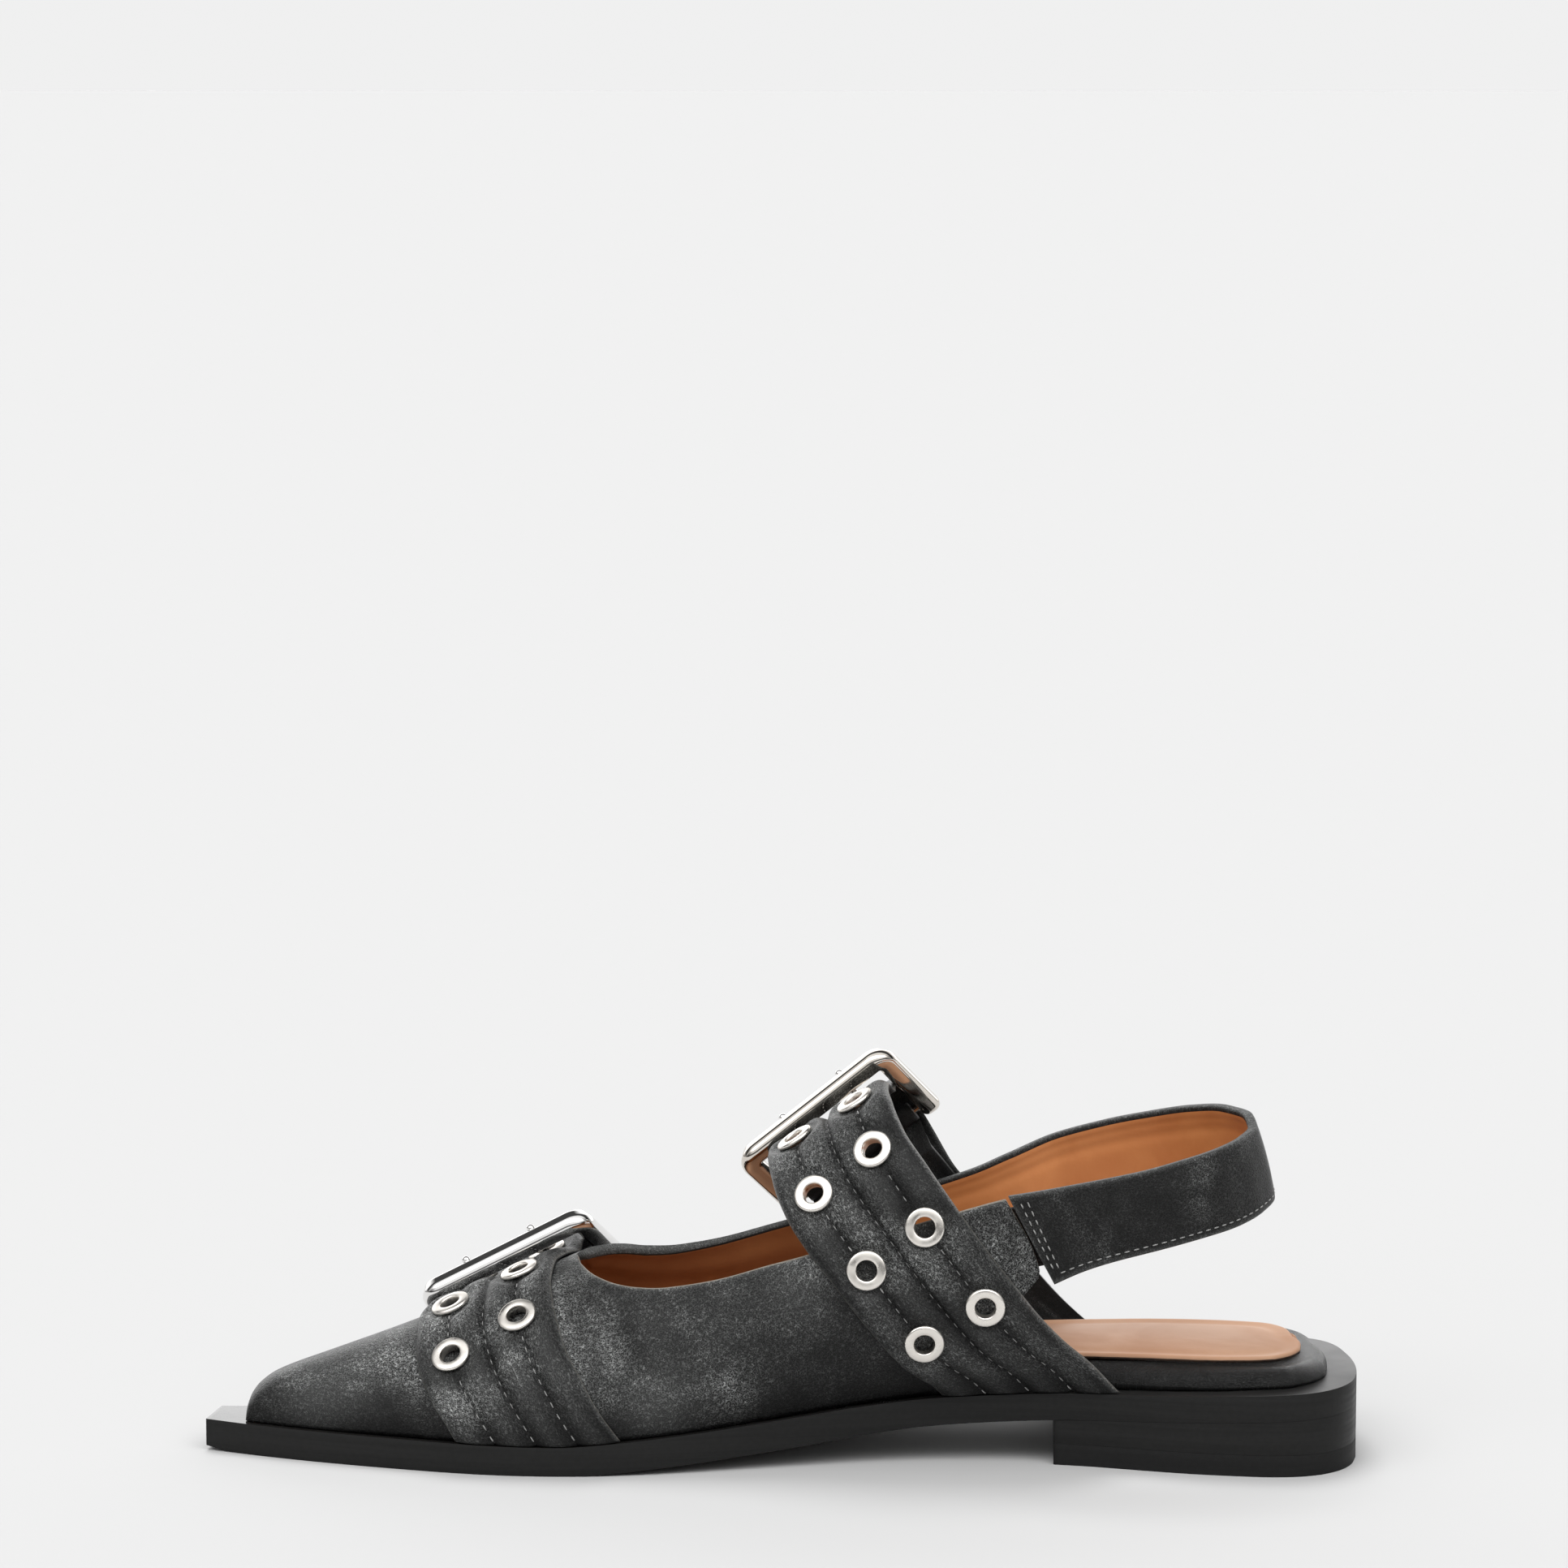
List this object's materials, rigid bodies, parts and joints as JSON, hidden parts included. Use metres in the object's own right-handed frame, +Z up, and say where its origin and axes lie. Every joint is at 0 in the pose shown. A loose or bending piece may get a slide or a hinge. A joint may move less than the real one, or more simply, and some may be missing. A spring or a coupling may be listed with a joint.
{
  "type": "buckled slingback ballet flat",
  "caption": "Pointed black leather slingback flat with a low stacked heel, padded eyelet straps over toe and instep in chrome frame buckles, and a tan lining; worn on the right foot.",
  "frame": {"origin": "middle of the shoe's bounding box, on the floor it stands on", "axes": "+X from toe to heel, +Y from the inner to the outer side of the foot, +Z up"},
  "size_m": [0.2676, 0.0777, 0.091],
  "materials": {
    "sole": "matte black painted leather edge and bottom",
    "heel": "matte black painted stacked leather",
    "lift": "matte black rubber",
    "wrapped_leather": "black leather wrapped over the insole's edge",
    "tan_leather": "smooth tan sock leather, satin",
    "upper_leather": "black leather with fine rubbed-off grey crackle, semi-gloss",
    "padded_leather": "black rubbed leather over padding, stitched in channels",
    "strap_leather": "plain black leather, semi-gloss",
    "sling_leather": "black rubbed leather lined with tan leather",
    "elastic": "black woven elastic",
    "eyelet_metal": "polished nickel",
    "frame_metal": "polished chrome plate",
    "prong_metal": "polished chrome plate"
  },
  "bodies": {
    "root": {"footbed": "wrapped_leather", "heel_block": "heel", "instep_buckle_frame": "frame_metal", "instep_buckle_strap": "strap_leather", "instep_eyelet_1_front": "eyelet_metal", "instep_eyelet_1_rear": "eyelet_metal", "instep_eyelet_2_front": "eyelet_metal", "instep_eyelet_2_rear": "eyelet_metal", "instep_eyelet_3_front": "eyelet_metal", "instep_eyelet_3_rear": "eyelet_metal", "instep_eyelet_4_front": "eyelet_metal", "instep_eyelet_4_rear": "eyelet_metal", "instep_eyelet_5_front": "eyelet_metal", "instep_eyelet_5_rear": "eyelet_metal", "instep_eyelet_6_front": "eyelet_metal", "instep_eyelet_6_rear": "eyelet_metal", "instep_eyelet_7_front": "eyelet_metal", "instep_eyelet_7_rear": "eyelet_metal", "instep_prong_front": "prong_metal", "instep_prong_rear": "prong_metal", "instep_strap": "padded_leather", "outsole": "sole", "sling_gore": "elastic", "slingback": "sling_leather", "sock_lining": "tan_leather", "toe_buckle_frame": "frame_metal", "toe_buckle_strap": "strap_leather", "toe_eyelet_1_front": "eyelet_metal", "toe_eyelet_1_rear": "eyelet_metal", "toe_eyelet_2_front": "eyelet_metal", "toe_eyelet_2_rear": "eyelet_metal", "toe_eyelet_3_front": "eyelet_metal", "toe_eyelet_3_rear": "eyelet_metal", "toe_eyelet_4_front": "eyelet_metal", "toe_eyelet_4_rear": "eyelet_metal", "toe_prong_front": "prong_metal", "toe_prong_rear": "prong_metal", "toe_strap": "padded_leather", "top_lift": "lift", "upper": "upper_leather"}
  },
  "joints": []
}
